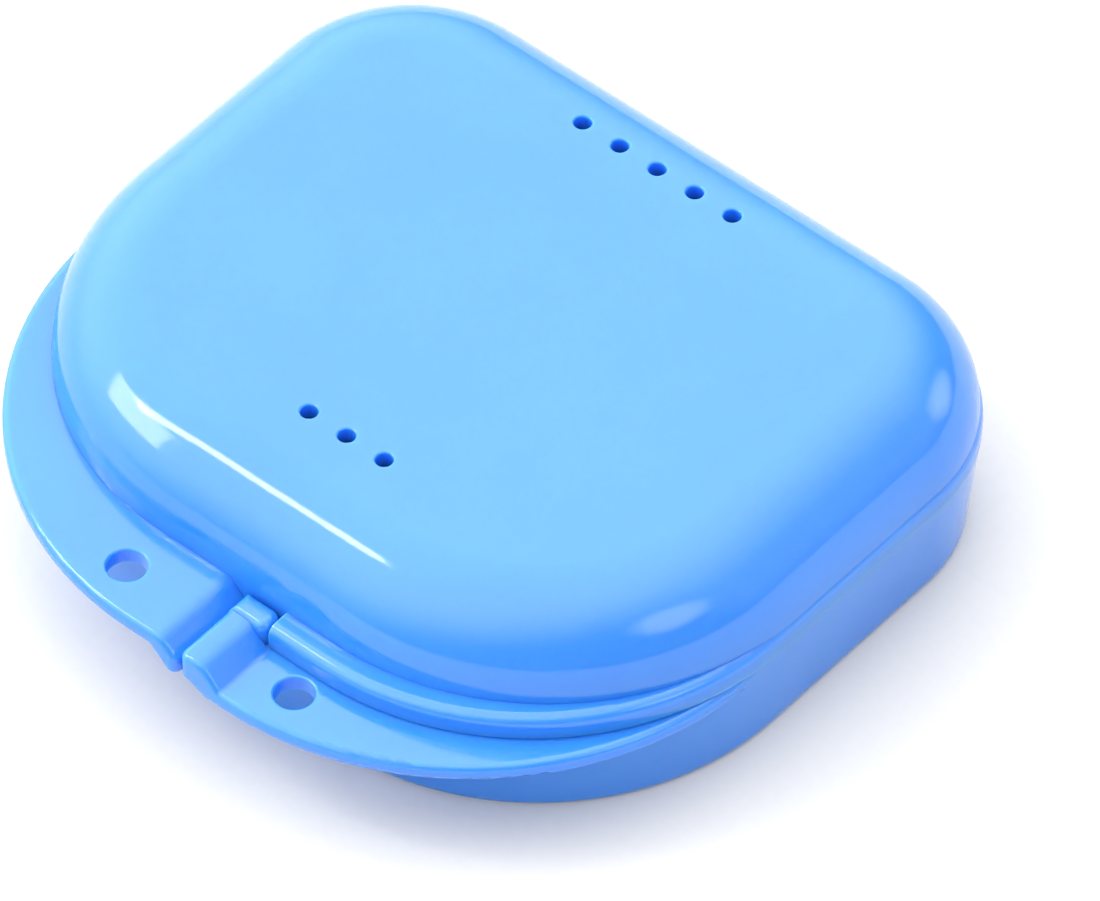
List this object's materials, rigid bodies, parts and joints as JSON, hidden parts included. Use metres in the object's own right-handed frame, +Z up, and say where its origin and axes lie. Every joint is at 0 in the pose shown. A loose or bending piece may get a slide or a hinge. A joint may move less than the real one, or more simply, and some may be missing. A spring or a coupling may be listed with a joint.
{
  "type": "mouthguard with case",
  "caption": "Boxing mouthguard in a hinged, vented case with a domed lid and two finger tabs at the front.",
  "frame": {"origin": "centre of the base's flat underside, on the surface that the case stands on", "axes": "+X to the side of the base's finger tab, +Y from the front to the hinge, +Z up"},
  "size_m": [0.0848, 0.0838, 0.024],
  "materials": {
    "case_plastic": "glossy moulded polypropylene, slightly translucent",
    "pin_steel": "plain drawn wire",
    "guard_shell_rubber": "satin moulded rubber, milky",
    "guard_frame_plastic": "matt",
    "guard_liner_gel": "smooth soft gel, milky"
  },
  "bodies": {
    "base": {"case_base": "case_plastic", "hinge_pin": "pin_steel"},
    "lid": {"case_lid": "case_plastic"},
    "mouthguard": {"mouthguard_shell": "guard_shell_rubber", "mouthguard_frame": "guard_frame_plastic", "mouthguard_liner": "guard_liner_gel"}
  },
  "joints": [
    {"name": "lid_hinge", "type": "hinge", "parent": "base", "child": "lid", "pos_m": [0, 0.0382, 0.0114], "axis": [-1, 0, 0], "range_deg": [0, 170]},
    {"name": "mouthguard_lift", "type": "slide", "parent": "base", "child": "mouthguard", "axis": [0, 0, 1], "range_m": [0, 0.03]}
  ],
  "couplings": [
    {"joint": "mouthguard_lift", "follows": "lid_hinge", "m_per_rad": 0.01}
  ]
}
